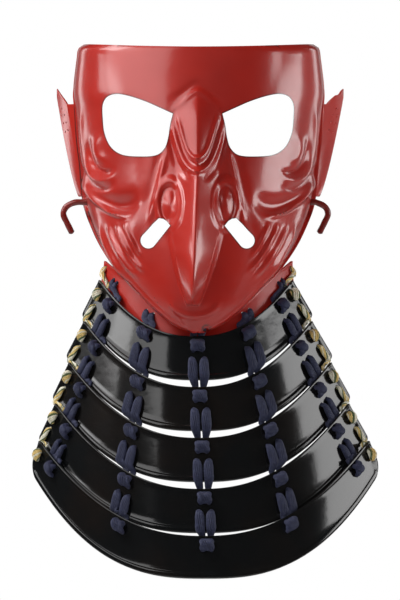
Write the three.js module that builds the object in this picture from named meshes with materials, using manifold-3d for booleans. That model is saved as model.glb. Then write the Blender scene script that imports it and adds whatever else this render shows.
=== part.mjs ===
// Samurai face guard: a lacquered iron mask with a crow's beak, two ear plates, two cord hooks,
// a throat plate under the jaw and five laced lames.
// Millimetres, +Z up, the face looks along -Y. The origin is in the hollow of the mask, level with the hooks.
import * as THREE from "three";
import { mergeVertices } from "three/addons/utils/BufferGeometryUtils.js";
import Module from "manifold-3d";

const wasm = await Module();
wasm.setup();

// Driving dimensions
const TOP = 104; // height of the forehead's upper edge at its corners
const TOP_DIP = 2.5; // how far that edge dips at the middle
const WALL = 1.8; // lacquered iron of the mask
const LAME_WALL = 1.6; // lacquered iron of the throat guard
const LIP = 2.6; // width of the mask's out-turned edge
const LAMES = 5;
const LAME_DROP = 33; // from one lame's upper edge to the next, at the middle
const LAME_STEP = 10.4; // how far each lame hangs in front of the one above
const SWAY = 1.4; // how far each lame hangs to the side of the one above
const HOLE = 3.1; // side of a lacing hole
const CORD_WIDE = 2.2;
const CORD_THICK = 1.4;
const ROD = 2; // radius of a cord hook
const HOOK_DEPTH = -9;
const EAR_WALL = 1.4;
const EAR_FOOT = 4; // height of an ear plate's lower end
const EAR_TOP = 65; // height of its inner corner
const EAR_APEX = 75.5; // height of its outer point
const GAP = 0.35; // clearance between neighbouring pieces

// Rows of lacing holes
const THROAT_ROW = 12; // in the throat plate, above its lower edge
const ROW_IN = 3; // the knot's upper holes, below a lame's upper edge
const EDGE_ROW_IN = 5; // the upper hole of the edge lacing's short stitch
const ROW_OUT = 9.6; // the knot's lower holes
const ROW_DROP = 14.6; // the holes that let the cords out to the next lame

const RED = new THREE.Color("#a3261b");
const BLACK = new THREE.Color("#0d0e0f");
const NAVY = new THREE.Color("#1d2140");
const GOLD = new THREE.Color("#c0a765");

// A smooth curve through [position, value] pairs in falling or rising order of position.
function smooth(pairs) {
  const slope = pairs.map((_, i) => {
    const a = pairs[Math.max(i - 1, 0)];
    const b = pairs[Math.min(i + 1, pairs.length - 1)];
    return (b[1] - a[1]) / (b[0] - a[0]);
  });
  const rising = pairs[1][0] > pairs[0][0];
  return (x) => {
    const past = (p) => (rising ? p[0] >= x : p[0] <= x);
    const found = pairs.findIndex(past);
    const i = found < 0 ? pairs.length - 1 : Math.max(found, 1);
    const [x0, y0] = pairs[i - 1];
    const [x1, y1] = pairs[i];
    const span = x1 - x0;
    const t = Math.min(Math.max((x - x0) / span, 0), 1);
    const rest = 1 - t;
    return (
      y0 * (1 + 2 * t) * rest * rest +
      y1 * t * t * (3 - 2 * t) +
      span * (slope[i - 1] * t * rest * rest - slope[i] * t * t * rest)
    );
  };
}

const bump = (distance) => (Math.abs(distance) < 1 ? (1 - distance * distance) ** 2 : 0);

// The face: half-width, the depth of its side edges and the depth of its middle, by height.
const halfWidth = smooth([
  [104, 75], [101.5, 78.6], [97, 79.6], [73, 82.2], [61, 80.9], [41, 78.9], [25, 76.6], [5, 74.7],
  [-4, 73], [-15, 69], [-25, 64.6], [-33, 60.2], [-44, 52.8], [-57, 41.5], [-68, 31], [-77, 20.5],
  [-82, 12.5], [-85, 5],
]);
const edgeDepth = smooth([
  [104, -7], [60, 0], [8, 0], [-4, -3], [-15, -14], [-33, -33], [-50, -49.5], [-68, -67], [-79, -76], [-85, -80],
]);
const frontDepth = smooth([
  [104, -66], [90, -69.5], [60, -75], [30, -79.5], [0, -84.5], [-30, -89], [-60, -91.5], [-70, -91],
  [-78, -88.5], [-82.5, -85.5], [-85, -83],
]);
// The nose bridge runs on into the beak: how far its ridge stands out, and half its width at the root.
const ridgeHeight = smooth([
  [76, 0], [68, 2.2], [58, 5.5], [45, 8.5], [30, 11], [18, 13], [5, 17], [-10, 22], [-25, 26], [-40, 28],
  [-52, 27.5], [-60, 24.5], [-65.5, 17], [-68, 0],
]);
const ridgeHalf = smooth([
  [76, 4], [66, 10], [55, 14.5], [45, 16], [30, 14.5], [18, 12.5], [5, 13], [-10, 15.5], [-21, 16],
  [-37, 12.5], [-48, 9.3], [-60, 4.6], [-65.5, 2.4], [-68, 2],
]);
const BEAK_LEAN = 0.035; // the beak leans this much to the side for each millimetre down
const BEAK_ROOT = 18;

const beakMiddle = (z) => Math.min(z - BEAK_ROOT, 0) * BEAK_LEAN;

// How far the nose and beak stand out at a point of the face.
function beakAt(x, z, inset) {
  const level = z - inset;
  const across = (Math.abs(x - beakMiddle(z)) + inset) / ridgeHalf(level);
  if (across >= 1 || level > 76 || level < -68) return 0;
  const rounded = Math.sqrt(across * across + 0.012) - 0.11;
  return Math.max(ridgeHeight(level) * (1 - rounded), 0);
}

// The low embossing: nostrils, the folds from nose to mouth, the pouches of the cheeks and the jaw's folds.
function reliefAt(x, z) {
  const side = Math.abs(x);
  const nostril = Math.hypot((side - 18.7) / 7.9, (z + 1) / 15);
  const ring = 3 * bump((nostril - 0.85) / 0.42) + 2.2 * bump(nostril / 0.55);
  const fold = 3.2 * bump((side - 25 + 0.24 * (z - 6)) / 6.5) * bump((z - 6) / 34);
  const pouch = 2.6 * bump(Math.hypot((side - 60) / 17, (z - 15 + 0.28 * (side - 60)) / 8));
  const lower = 2.4 * bump(Math.hypot((side - 60) / 15, (z - 2 + 0.1 * (side - 60)) / 7));
  const hollow = -3 * bump(Math.hypot((side - 43) / 13, (z + 2) / 17));
  const jaw = 1.8 * bump(Math.hypot((side - 49) / 14, (z + 31 + 1.6 * (side - 49)) / 22));
  return ring + fold + pouch + lower + hollow + jaw;
}

// A point of the mask: angle runs from -1 to 1 across the face, inset is how far inside the outer face it is.
function facePoint(across, z, inset) {
  const angle = (across * Math.PI) / 2;
  const edge = edgeDepth(z) + inset * Math.sin(angle) ** 2;
  const x = (halfWidth(z) - inset) * Math.sin(angle) + beakMiddle(z) * bump(across / 0.45);
  const deep = Math.max(edgeDepth(z) - frontDepth(z) - inset, 0);
  const y = edge - deep * Math.cos(angle) - beakAt(x, z, inset * 1.1) - reliefAt(x, z);
  return new THREE.Vector3(x, y, z - TOP_DIP * Math.cos(angle) ** 2 * bump((TOP - z) / 60));
}

// A closed sheet made by bending a thin box: place(across, down, outer) gives each point, across from -1 to 1
// and down from 0 to 1.
function sheet(columns, rows, place) {
  const box = new THREE.BoxGeometry(2, 1, 2, columns, rows, 1);
  const at = box.attributes.position;
  for (let i = 0; i < at.count; i++) {
    const point = place(at.getX(i), 0.5 - at.getY(i), at.getZ(i) > 0);
    at.setXYZ(i, point.x, point.y, point.z);
  }
  return solid(box);
}

function solid(geometry) {
  const bare = geometry.clone();
  bare.deleteAttribute("normal");
  bare.deleteAttribute("uv");
  const merged = mergeVertices(bare, 1e-4);
  return new wasm.Manifold(
    new wasm.Mesh({
      numProp: 3,
      vertProperties: merged.attributes.position.array,
      triVerts: new Uint32Array(merged.index.array),
    }),
  );
}

function mesh(name, made, color, roughness, metalness) {
  const flat = made.getMesh();
  const geometry = new THREE.BufferGeometry();
  geometry.setAttribute("position", new THREE.BufferAttribute(flat.vertProperties, 3));
  geometry.setIndex(new THREE.BufferAttribute(flat.triVerts, 1));
  geometry.computeVertexNormals();
  const piece = new THREE.Mesh(geometry, new THREE.MeshStandardMaterial({ color, roughness, metalness }));
  piece.name = name;
  return piece;
}

// A bar through an outline drawn on the XZ plane, running back along +Y from depth `from` to depth `to`.
function punch(shape, from, to, mirrored, curveSegments) {
  const bar = new THREE.ExtrudeGeometry(shape, { depth: to - from, bevelEnabled: false, curveSegments });
  bar.rotateX(Math.PI / 2);
  bar.translate(0, to, 0);
  const made = solid(bar);
  return mirrored ? made.mirror([1, 0, 0]) : made;
}

function eyeOutline() {
  const outline = new THREE.Shape();
  outline.moveTo(16.2, 57.5);
  outline.splineThru([
    [25, 61.5], [34, 65.5], [45, 69.2], [53.5, 70.6], [59.5, 68.7], [62.4, 63.5], [62.4, 55], [61.2, 45],
    [57, 36], [49.5, 30.9], [38, 29.6], [27, 30.4], [21.5, 35], [19.2, 42], [18, 50], [16.2, 57.5],
  ].map(([x, z]) => new THREE.Vector2(x, z)));
  return outline;
}

// The open corner of the mouth: straight sides, square at the nose and round at the cheek.
function mouthOutline() {
  const end = new THREE.Vector2(32, -25.3);
  const radius = 5.2;
  const outline = new THREE.Shape();
  outline.moveTo(17.7, -15.7);
  outline.lineTo(25.2, -10.8);
  outline.absarc(end.x, end.y, radius, Math.PI / 4, (-3 * Math.PI) / 4, true);
  outline.closePath();
  return outline;
}

function facePlate() {
  const COLUMNS = 38;
  const rowLevels = [104, 102.5, 99, 89, 78];
  for (let z = 68; z > -62; z -= 5.2) rowLevels.push(z);
  rowLevels.push(-65.5, -67.5, -69.5, -74, -78, -82, -85);
  const lipWidth = (z) => 0.5 + (LIP - 0.5) * bump(Math.min(Math.max((z - 5) / 70, -1), 1)) ** 0.5;
  const shell = sheet(COLUMNS, rowLevels.length - 1, (across, down, outer) => {
    const z = rowLevels[Math.round(down * (rowLevels.length - 1))];
    const inset = outer ? 0 : WALL;
    const column = Math.round(Math.abs(across) * (COLUMNS / 2));
    const last = COLUMNS / 2 - 1;
    const side = Math.sign(across);
    const bent = side * Math.min(column / last, 1) ** 1.2;
    const point = facePoint(bent, z, inset);
    if (column > last) {
      const outerEdge = facePoint(side, z, 0);
      point.x = outerEdge.x + side * lipWidth(z);
      point.y = outerEdge.y + (outer ? 0.4 : WALL);
    }
    return point;
  });
  let cut = shell;
  for (const mirrored of [false, true]) {
    cut = cut.subtract(punch(eyeOutline(), -110, 0, mirrored, 2));
    cut = cut.subtract(punch(mouthOutline(), -125, -45, mirrored, 4));
  }
  const sweatHole = new THREE.CylinderGeometry(1.6, 1.6, 16, 8).translate(5.5, 0, 0);
  sweatHole.rotateX(-Math.PI / 4);
  sweatHole.translate(0, -84.5, -81.5);
  cut = cut.subtract(solid(sweatHole));
  for (const side of [-1, 1]) {
    const hookHole = new THREE.CylinderGeometry(ROD + 2 * GAP, ROD + 2 * GAP, 30, 10);
    hookHole.rotateZ(Math.PI / 2);
    hookHole.translate(side * 70, HOOK_DEPTH, 0);
    cut = cut.subtract(solid(hookHole));
  }
  return cut;
}

// Each ear plate starts behind the mask's edge, turns at a fold and stands out and back, rising to a point.
function earPlate(side, foldOut, outerOut) {
  const COLUMNS = 6;
  const ROWS = 7;
  const front = (z) => [halfWidth(z) - 1.5, WALL + GAP + edgeDepth(z) + 0.4];
  const rise = (z) => (z - EAR_FOOT) / (EAR_TOP - EAR_FOOT);
  const fold = (z) => [76.5 + (foldOut - 76.5) * rise(z), 8 + 1.5 * rise(z)];
  const outer = (z) => [79.4 + (outerOut - 79.4) * Math.min(rise(z), 1.08) ** 0.75, 15 + 12 * rise(z)];
  const plate = sheet(COLUMNS, ROWS, (across, down, isOuter) => {
    const column = ((across + 1) / 2) * COLUMNS;
    const beyond = Math.max(column - COLUMNS / 3, 0) / ((2 * COLUMNS) / 3);
    const top = EAR_TOP + (EAR_APEX - EAR_TOP) * beyond ** 0.8;
    const z = top + (EAR_FOOT - top) * down;
    const [x0, y0] = column <= COLUMNS / 3 ? front(z) : fold(z);
    const [x1, y1] = column <= COLUMNS / 3 ? fold(z) : outer(z);
    const share = column <= COLUMNS / 3 ? column / (COLUMNS / 3) : beyond;
    const through = isOuter ? 0 : EAR_WALL;
    return new THREE.Vector3(
      x0 + (x1 - x0) * share - through * 0.6,
      y0 + (y1 - y0) * share + through * 0.8,
      z,
    );
  });
  let pierced = plate;
  const holes = [[48, 0.35], [53, 0.4], [58, 0.45], [47, 0.66], [52.5, 0.7], [57.5, 0.75], [62, 0.62]];
  for (const [z, share] of holes) {
    const x = fold(z)[0] + (outer(z)[0] - fold(z)[0]) * share;
    const y = fold(z)[1] + (outer(z)[1] - fold(z)[1]) * share;
    const drill = new THREE.CylinderGeometry(0.8, 0.8, 9, 5);
    drill.rotateZ(Math.PI / 2);
    drill.rotateZ(-0.4);
    drill.translate(x, y, z);
    pierced = pierced.subtract(solid(drill));
  }
  return side > 0 ? pierced : pierced.mirror([1, 0, 0]);
}

function tube(points, radius, steps, tension) {
  const path = new THREE.CatmullRomCurve3(points, false, "catmullrom", tension);
  const section = new THREE.Shape();
  section.absarc(0, 0, radius, 0, 2 * Math.PI);
  const geometry = new THREE.ExtrudeGeometry(section, { extrudePath: path, steps, curveSegments: 5 });
  const made = solid(geometry);
  return made.volume() < 0 ? solid(geometry.scale(-1, 1, 1)).mirror([1, 0, 0]) : made;
}

// A cord hook: a round rod through the mask's side, bent down and in at its end.
function cordHook(side, reach) {
  const points = [
    [68, 0.5], [75, 0.8], [80.5 + reach, 0.6], [86 + reach, -2.2], [88 + reach, -7], [85.5 + reach, -13],
    [82 + reach, -20],
  ].map(([x, z], i) => new THREE.Vector3(side * x, HOOK_DEPTH + Math.min(i, 3) * 0.4, z - 0.6));
  return tube(points, ROD, 12, 0.5);
}

// A lame, or the throat plate: a band between two curves, each an arch of x = half * u, rising and going back
// as |u| to a power.
function band({ top, bottom, columns }) {
  const curve = (edge, power) => (u) =>
    new THREE.Vector3(
      edge.sway + edge.half * u,
      edge.front + edge.deep * Math.abs(u) ** 2.3,
      edge.level + edge.rise * Math.abs(u) ** power,
    );
  const upper = curve(top, top.power ?? 2.3);
  const lower = curve(bottom, bottom.power);
  const point = (u, down) => upper(u).lerp(lower(u), down);
  const normal = (u, down) => {
    const step = 0.01;
    const across = point(u + step, down).sub(point(u - step, down));
    return across.cross(new THREE.Vector3().subVectors(upper(u), lower(u))).normalize();
  };
  const offset = (u, down, out) => point(u, down).addScaledVector(normal(u, down), out);
  // a place on the band: aside is measured along it from u, below along its slope from the upper edge
  const tallAt = (u) => upper(u).distanceTo(lower(u));
  const place = (u, aside, below, out) => {
    const stretch = point(u + 0.01, 0.2).distanceTo(point(u, 0.2)) / 0.01;
    return offset(u + aside / stretch, below / tallAt(u), out);
  };
  const placeUp = (u, aside, above, out) => place(u, aside, tallAt(u) - above, out);
  const made = sheet(columns, 1, (across, down, outer) => offset(across, down, (outer ? 0.5 : -0.5) * LAME_WALL));
  return { made, place, placeUp };
}

function lameBand(k) {
  const last = k === LAMES - 1;
  const halves = [62.6, 73.9, 85, 95.3, 107.1];
  const lowerHalves = [75.2, 86.8, 97.1, 107.4, 114.3];
  const sway = SWAY * k - 1.5;
  const top = {
    sway,
    half: halves[k],
    front: -77 - LAME_STEP * k,
    deep: 41.5 + 4.9 * k - (k ? 1.5 : 0),
    level: -87.8 - LAME_DROP * k + (k > 3 ? 2.6 : 0),
    rise: 36.7 + 6.1 * k,
  };
  const bottom = {
    sway: sway + 0.9,
    half: lowerHalves[k],
    front: -83.2 - LAME_STEP * k,
    deep: (last ? 72 : 51.8 + 5.2 * k),
    level: top.level - (last ? 27.5 : 28.6),
    rise: last ? 70 : 42.2 + 6.1 * k,
    power: last ? 2.75 : 2.58,
  };
  return band({ top, bottom, columns: 20 });
}

function throatBand() {
  const top = { sway: 0, half: 61, front: -64, deep: 39, level: -70, rise: 31.5, power: 1.6 };
  const bottom = { sway: -0.7, half: 62.5, front: -71, deep: 45, level: -92, rise: 39, power: 2.3 };
  return band({ top, bottom, columns: 20 });
}

// Where each column of lacing crosses a band, as a share of the band's half-width (the throat plate is band 0),
// and how far from the column's middle each of its two cords hangs.
const farPlace = (k) => (k ? 0.84 + 0.0135 * k : 0.868);
const edgePlace = (k) => (k ? 0.95 + 0.006 * k : 0.98);
const COLUMN_PLACES = [
  { name: "lacing_far_left", u: (k) => -farPlace(k), spread: 3 },
  { name: "lacing_mid_left", u: () => -0.5, spread: 4 },
  { name: "lacing_centre", u: () => 0.02, spread: 4 },
  { name: "lacing_mid_right", u: () => 0.515, spread: 4 },
  { name: "lacing_far_right", u: farPlace, spread: 3 },
];
const EDGE_PLACES = [
  { name: "edge_lacing_left", u: (k) => -edgePlace(k) },
  { name: "edge_lacing_right", u: edgePlace },
];
const BEHIND = LAME_WALL / 2 + CORD_THICK / 2 + GAP;

// One cord of a pair, as points on the bands that it passes: it crosses its twin on the front of each lame.
function cordPoints(u, spread, side) {
  const hang = side * spread;
  const points = [
    throat.placeUp(u(0), hang, THROAT_ROW - 5, -BEHIND),
    throat.placeUp(u(0), hang, THROAT_ROW, -BEHIND),
    throat.placeUp(u(0), hang, THROAT_ROW, BEHIND),
    throat.placeUp(u(0), hang, THROAT_ROW - 4.5, BEHIND + 0.2),
  ];
  lames.forEach((lame, k) => {
    const enter = (k % 2 ? -1 : 1) * hang;
    const at = (aside, below, out) => points.push(lame.place(u(k + 1), aside, below, out));
    at(enter, -0.5, -BEHIND - 0.2);
    at(enter, ROW_IN, -BEHIND);
    at(enter, ROW_IN, BEHIND);
    at(-enter, ROW_OUT, BEHIND);
    at(-enter, ROW_OUT, -BEHIND);
    if (k === LAMES - 1) return;
    at(-enter, ROW_DROP, -BEHIND);
    at(-enter, ROW_DROP, BEHIND);
    at(-enter, 27.5, BEHIND + 0.35);
  });
  return points;
}

// The edge lacing is one cord that makes a short stitch in each lame and a long one to the next.
function edgeCordPoints(u) {
  const points = [
    throat.placeUp(u(0), 0, THROAT_ROW - 5, -BEHIND),
    throat.placeUp(u(0), 0, THROAT_ROW, -BEHIND),
    throat.placeUp(u(0), 0, THROAT_ROW, BEHIND),
    throat.placeUp(u(0), 0, THROAT_ROW - 4.5, BEHIND + 0.2),
  ];
  lames.forEach((lame, k) => {
    const at = (below, out) => points.push(lame.place(u(k + 1), 0, below, out));
    at(-0.5, -BEHIND - 0.2);
    at(EDGE_ROW_IN, -BEHIND);
    at(EDGE_ROW_IN, BEHIND);
    at(ROW_OUT, BEHIND);
    at(ROW_OUT, -BEHIND);
    if (k === LAMES - 1) return;
    at(ROW_DROP, -BEHIND);
    at(ROW_DROP, BEHIND);
    at(25.5, BEHIND + 0.35);
  });
  return points;
}

// A flat cord through its points, square-cornered: a box with a section at each point, mitred at every turn.
// aside is the direction of the cord's width.
function cord(points, aside) {
  const last = points.length - 1;
  const heading = (i) => new THREE.Vector3().subVectors(points[i + 1], points[i]).normalize();
  const sections = points.map((point, i) => {
    const before = heading(Math.max(i - 1, 0));
    const after = heading(Math.min(i, last - 1));
    const along = before.clone().add(after).normalize();
    const mitre = Math.min(1 / along.dot(after), 1.5);
    const out = new THREE.Vector3().crossVectors(along, aside).normalize();
    return { point, out: out.multiplyScalar(mitre * CORD_THICK) };
  });
  const box = new THREE.BoxGeometry(1, 1, last, 1, 1, last);
  const at = box.attributes.position;
  for (let i = 0; i < at.count; i++) {
    const { point, out } = sections[Math.round(at.getZ(i) + last / 2)];
    const corner = point.clone().addScaledVector(aside, -at.getX(i) * CORD_WIDE);
    corner.addScaledVector(out, at.getY(i));
    at.setXYZ(i, corner.x, corner.y, corner.z);
  }
  const made = solid(box);
  return made.volume() < 0 ? solid(turned(box)) : made;
}

// The same geometry with its faces turned round.
function turned(geometry) {
  const index = geometry.index.array;
  for (let i = 0; i < index.length; i += 3) [index[i], index[i + 1]] = [index[i + 1], index[i]];
  return geometry;
}

// The direction along a band at u, level with its middle column.
function asideAt(piece, u) {
  return new THREE.Vector3().subVectors(piece.place(u, 1, 8, 0), piece.place(u, -1, 8, 0)).normalize();
}

// The holes of one column in one band, at each aside and row.
function lacingHoles(made, locate, u, places) {
  let cut = made;
  for (const [aside, row] of places) {
    const from = locate(u, aside, row, -3);
    const to = locate(u, aside, row, 3);
    const drill = new THREE.BoxGeometry(HOLE, HOLE, 6);
    const z = new THREE.Vector3().subVectors(to, from).normalize();
    const x = new THREE.Vector3(0, 0, 1).cross(z).normalize();
    const y = new THREE.Vector3().crossVectors(z, x);
    drill.applyMatrix4(new THREE.Matrix4().makeBasis(x, y, z));
    const middle = from.lerp(to, 0.5);
    drill.translate(middle.x, middle.y, middle.z);
    cut = cut.subtract(solid(drill));
  }
  return cut;
}

function pierced(piece, k) {
  const rowsFrom = (first) => [first, ROW_OUT, ROW_DROP].slice(0, k === LAMES ? 2 : 3);
  const locate = k ? piece.place : piece.placeUp;
  let made = piece.made;
  for (const { u, spread } of COLUMN_PLACES) {
    const rows = k ? rowsFrom(ROW_IN) : [THROAT_ROW];
    made = lacingHoles(made, locate, u(k), rows.flatMap((row) => [[-spread, row], [spread, row]]));
  }
  for (const { u } of EDGE_PLACES) {
    const rows = k ? rowsFrom(EDGE_ROW_IN) : [THROAT_ROW];
    made = lacingHoles(made, locate, u(k), rows.map((row) => [0, row]));
  }
  return made;
}

const throat = throatBand();
const lames = Array.from({ length: LAMES }, (_, k) => lameBand(k));

const guard = new THREE.Group();
guard.add(mesh("face_plate", facePlate(), RED, 0.22, 0.1));
guard.add(mesh("ear_plate_left", earPlate(-1, 87, 93.4), RED, 0.25, 0.1));
guard.add(mesh("ear_plate_right", earPlate(1, 84.5, 94.6), RED, 0.25, 0.1));
guard.add(mesh("cord_hook_left", cordHook(-1, 1), RED, 0.3, 0.2));
guard.add(mesh("cord_hook_right", cordHook(1, -3), RED, 0.3, 0.2));
guard.add(mesh("throat_plate", pierced(throat, 0), RED, 0.25, 0.1));
lames.forEach((lame, k) => {
  guard.add(mesh(`lame_${k + 1}`, pierced(lame, k + 1), BLACK, 0.18, 0.1));
});
for (const { name, u, spread } of COLUMN_PLACES) {
  const pair = [-1, 1].map((side) => cord(cordPoints(u, spread, side), asideAt(lames[2], u(3))));
  guard.add(mesh(name, pair[0].add(pair[1]), NAVY, 0.85, 0));
}
for (const { name, u } of EDGE_PLACES) {
  guard.add(mesh(name, cord(edgeCordPoints(u), asideAt(lames[2], u(3))), GOLD, 0.7, 0));
}

export default guard;
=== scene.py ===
"""A samurai face guard: a red lacquered mask with a crow's beak, two ear plates, two cord hooks, and a
throat guard of five black lacquered lames laced in navy silk. Lengths in the formulas are millimetres;
meshes are metres."""

import math

import bmesh
import bpy
import numpy as np
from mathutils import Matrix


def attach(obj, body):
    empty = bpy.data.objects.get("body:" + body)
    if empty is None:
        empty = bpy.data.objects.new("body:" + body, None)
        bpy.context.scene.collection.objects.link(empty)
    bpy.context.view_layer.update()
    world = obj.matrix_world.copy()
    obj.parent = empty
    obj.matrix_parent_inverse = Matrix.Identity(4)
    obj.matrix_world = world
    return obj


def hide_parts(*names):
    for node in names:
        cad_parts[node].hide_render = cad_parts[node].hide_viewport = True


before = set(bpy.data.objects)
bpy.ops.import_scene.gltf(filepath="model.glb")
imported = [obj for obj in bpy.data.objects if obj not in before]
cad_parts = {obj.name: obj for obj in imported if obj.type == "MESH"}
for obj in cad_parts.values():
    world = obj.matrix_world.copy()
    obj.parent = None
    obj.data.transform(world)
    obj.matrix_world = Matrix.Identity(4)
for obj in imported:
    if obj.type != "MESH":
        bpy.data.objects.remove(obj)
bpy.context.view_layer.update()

bl_info = {
    "name": "Samurai Face Guard",
    "version": (1, 0, 0),
    "blender": (4, 5, 0),
    "location": "View3D > Sidebar > Face Guard",
    "description": "Builds a crow-beaked face guard and its laced throat guard",
    "category": "Add Mesh",
}

MM = 0.001
BODY = "root"

# The mask: the heights of its top and chin, how far its upper edge dips in the middle, and the beak's lean.
TOP = 104
CHIN = -85
TOP_DIP = 2.5
BEAK_ROOT = 18
BEAK_LEAN = 0.035
# How steeply a fold falls off to its sides.
FALL = 2.5
# The eye and mouth openings go through the mask between these depths.
EYE_DEPTHS = (-112, 2)
MOUTH_DEPTHS = (-125, -45)
# The sweat hole: its middle on the face, its radius, the drill's ends, and the half-sizes of the rim round it
# where a dark shade is painted.
SWEAT_HOLE = (5.7, -82.6)
SWEAT_RADIUS = 2.1
SWEAT_DRILL = ((5.7, -91, -89.7), (5.7, -75.5, -77.2))
SWEAT_SHADE_RIM = (2.5, 1.9)
# How far from a cut edge the painted dark shade reaches; it stands in for the iron's thickness lying in
# shadow.
EDGE_SHADE_REACH = 0.75
# The cord hooks' depth, and the radius of their holes.
HOOK_DEPTH = -9
HOOK_HOLE = 2.7

# The ear plates: the heights of the foot, of the upper edge at the fold and of the outer point; then where
# the fold and the outer edge stand at the foot, out and back, and how much further back each leans.
EAR_FOOT = 4
EAR_TOP = 65
EAR_POINT = 75.5
EAR_FOLD_FOOT = (76.5, 8)
EAR_FOLD_BACK = 1.5
EAR_EDGE_FOOT = (79.4, 15)
EAR_EDGE_BACK = 12
LISTENING_RADIUS = 0.8

# The lames: how many, how far each hangs below the last and stands out past it, and how far it sways.
LAMES = 5
LAME_DROP = 33
LAME_STEP = 10.4
SWAY = 1.4
# The power of |u| with which every band's edges go back, and with which the lames' upper edges rise.
ARCH = 2.3

# Rows of lacing holes: up from the throat plate's lower edge; then down from a lame's upper edge, where a
# knot's cords come out, where an edge cord's stitch does, where both go back in, and where they come out
# again to hang to the next lame.
THROAT_ROW = 12
ROW_IN = 3
EDGE_ROW_IN = 5
ROW_OUT = 9.6
ROW_DROP = 14.6
# How far apart a knot's holes are, as a share of its column's spread; and the ends of a hole's drill.
KNOT_SHARE = 0.7
DRILL = (-3.5, 4)

# Cords: how far one lies from the iron's face, the distance between the points of its middle line, the turn
# of its yarns to a millimetre, and the lame that gives the direction across it.
CORD_LIFT = 1.1
CORD_STEP = 1.05
NAVY_TWIST = 0.07
EDGE_TWIST = 0.35
MIDDLE_LAME = 3

# The studio, in metres: what the camera and the softboxes point at, and the floor's radius and two tones.
# The camera's sensor is in millimetres.
VIEW_TARGET = (0.0012, -0.04, -0.0641)
LIGHT_TARGET = (0, -0.05, -0.05)
SENSOR = 36
FLOOR_RADIUS = 5.4
FLOOR_TONES = ((0.80, 0.80, 0.80), (0.84, 0.84, 0.83))


# ------------------------------------------------------------------------------------------
# Sizes and colours


def length(name, description, value):
    return bpy.props.FloatProperty(name=name, description=description, default=value, unit="LENGTH")


def count(name, description, value, least):
    return bpy.props.IntProperty(name=name, description=description, default=value, min=least)


def factor(name, description, value, most):
    return bpy.props.FloatProperty(name=name, description=description, default=value, min=0.0, max=most)


def colour(name, description, value):
    return bpy.props.FloatVectorProperty(
        name=name, description=description, default=value, size=3, subtype="COLOR", min=0.0, max=1.0
    )


class MaskSizes(bpy.types.PropertyGroup):
    wall: length("Wall", "Thickness of the mask's lacquered iron", 0.0018)
    lip: length("Lip", "Width of the mask's out-turned edge", 0.0026)
    fold: factor("Fold depth", "Scale of the embossed wrinkles", 1.0, 2.0)
    ear_wall: length("Ear wall", "Thickness of the ear plates", 0.0014)
    rod: length("Hook rod", "Radius of the cord hooks", 0.002)


class GuardSizes(bpy.types.PropertyGroup):
    wall: length("Lame wall", "Thickness of a lame", 0.0016)
    bead: length("Bead", "Height of the raised rim round a lame", 0.0009)
    bead_width: length("Bead width", "Width of the raised rim round a lame", 0.0036)
    hole: length("Lacing hole", "Radius of a lacing hole", 0.00135)
    yarns: count("Yarns", "Yarns in a navy cord", 14, 6)
    yarn: length("Yarn", "Radius of a yarn in a navy cord", 0.00062)
    edge_yarns: count("Edge yarns", "Yarns in an edge cord", 10, 4)
    edge_yarn: length("Edge yarn", "Radius of a yarn in an edge cord", 0.00052)


class Finishes(bpy.types.PropertyGroup):
    red: colour("Red lacquer", "Body colour of the red lacquer", (0.52, 0.020, 0.011))
    # Random deeper tone of the lacquer, also painted into the mask's hollows as shade.
    deep_red: colour("Deep red", "Red lacquer where it lies thick", (0.38, 0.012, 0.007))
    black: colour("Black lacquer", "Body colour of the black lacquer", (0.006, 0.0065, 0.007))
    brown: colour("Brown cast", "Where the black lacquer has aged", (0.016, 0.010, 0.007))
    navy: colour("Navy silk", "Colour of the lacing", (0.020, 0.024, 0.066))
    pale_navy: colour("Rubbed navy", "Where the lacing is rubbed", (0.042, 0.050, 0.115))
    gold: colour("Gold silk", "Gold yarns of the edge lacing", (0.86, 0.62, 0.22))
    cream: colour("Cream silk", "Cream yarns of the edge lacing", (0.97, 0.92, 0.74))
    green: colour("Green silk", "Green yarns of the edge lacing", (0.07, 0.12, 0.035))
    crest: colour("Worn crest", "Red lacquer rubbed dark on sharp crests", (0.03, 0.004, 0.003))
    browned: colour("Browned red", "Red lacquer where cords have run", (0.075, 0.010, 0.007))
    # Painted shade: a dark line along the cut edges, where the edge's thickness would lie in shadow.
    bare: colour("Edge shade", "Red lacquer thin at a cut edge", (0.04, 0.008, 0.006))
    red_speck: colour("Red speck", "Small specks in the red lacquer", (0.12, 0.008, 0.006))
    dust: colour("Dust", "Small specks on the black lacquer", (0.05, 0.048, 0.045))
    groove: colour("Silk groove", "Shade between the filaments of silk", (0.004, 0.004, 0.006))


class StudioSettings(bpy.types.PropertyGroup):
    floor: length("Floor", "Height of the floor", -0.5)
    distance: length("Camera distance", "From the camera to the guard", 8.0)
    height: length("View height", "Height of the view at the guard", 0.393)
    turn: bpy.props.FloatProperty(
        name="Camera turn",
        description="How far the camera stands to the side",
        default=math.radians(0.6),
        unit="ROTATION",
    )
    glow: factor("Softbox glow", "Brightness of the softboxes", 3.6, 50.0)


SETTINGS = {
    "guard_mask": MaskSizes,
    "guard_throat": GuardSizes,
    "guard_finish": Finishes,
    "guard_studio": StudioSettings,
}


# ------------------------------------------------------------------------------------------
# Curves and folds


def bump(distance):
    """1 at no distance, falling smoothly to 0 at a distance of 1."""
    return np.where(np.abs(distance) < 1, (1 - np.minimum(np.abs(distance), 1) ** 2) ** 2, 0.0)


def ease(t):
    """0 to 1 with soft ends, as t goes from 0 to 1."""
    t = np.clip(t, 0, 1)
    return t * t * (3 - 2 * t)


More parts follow.
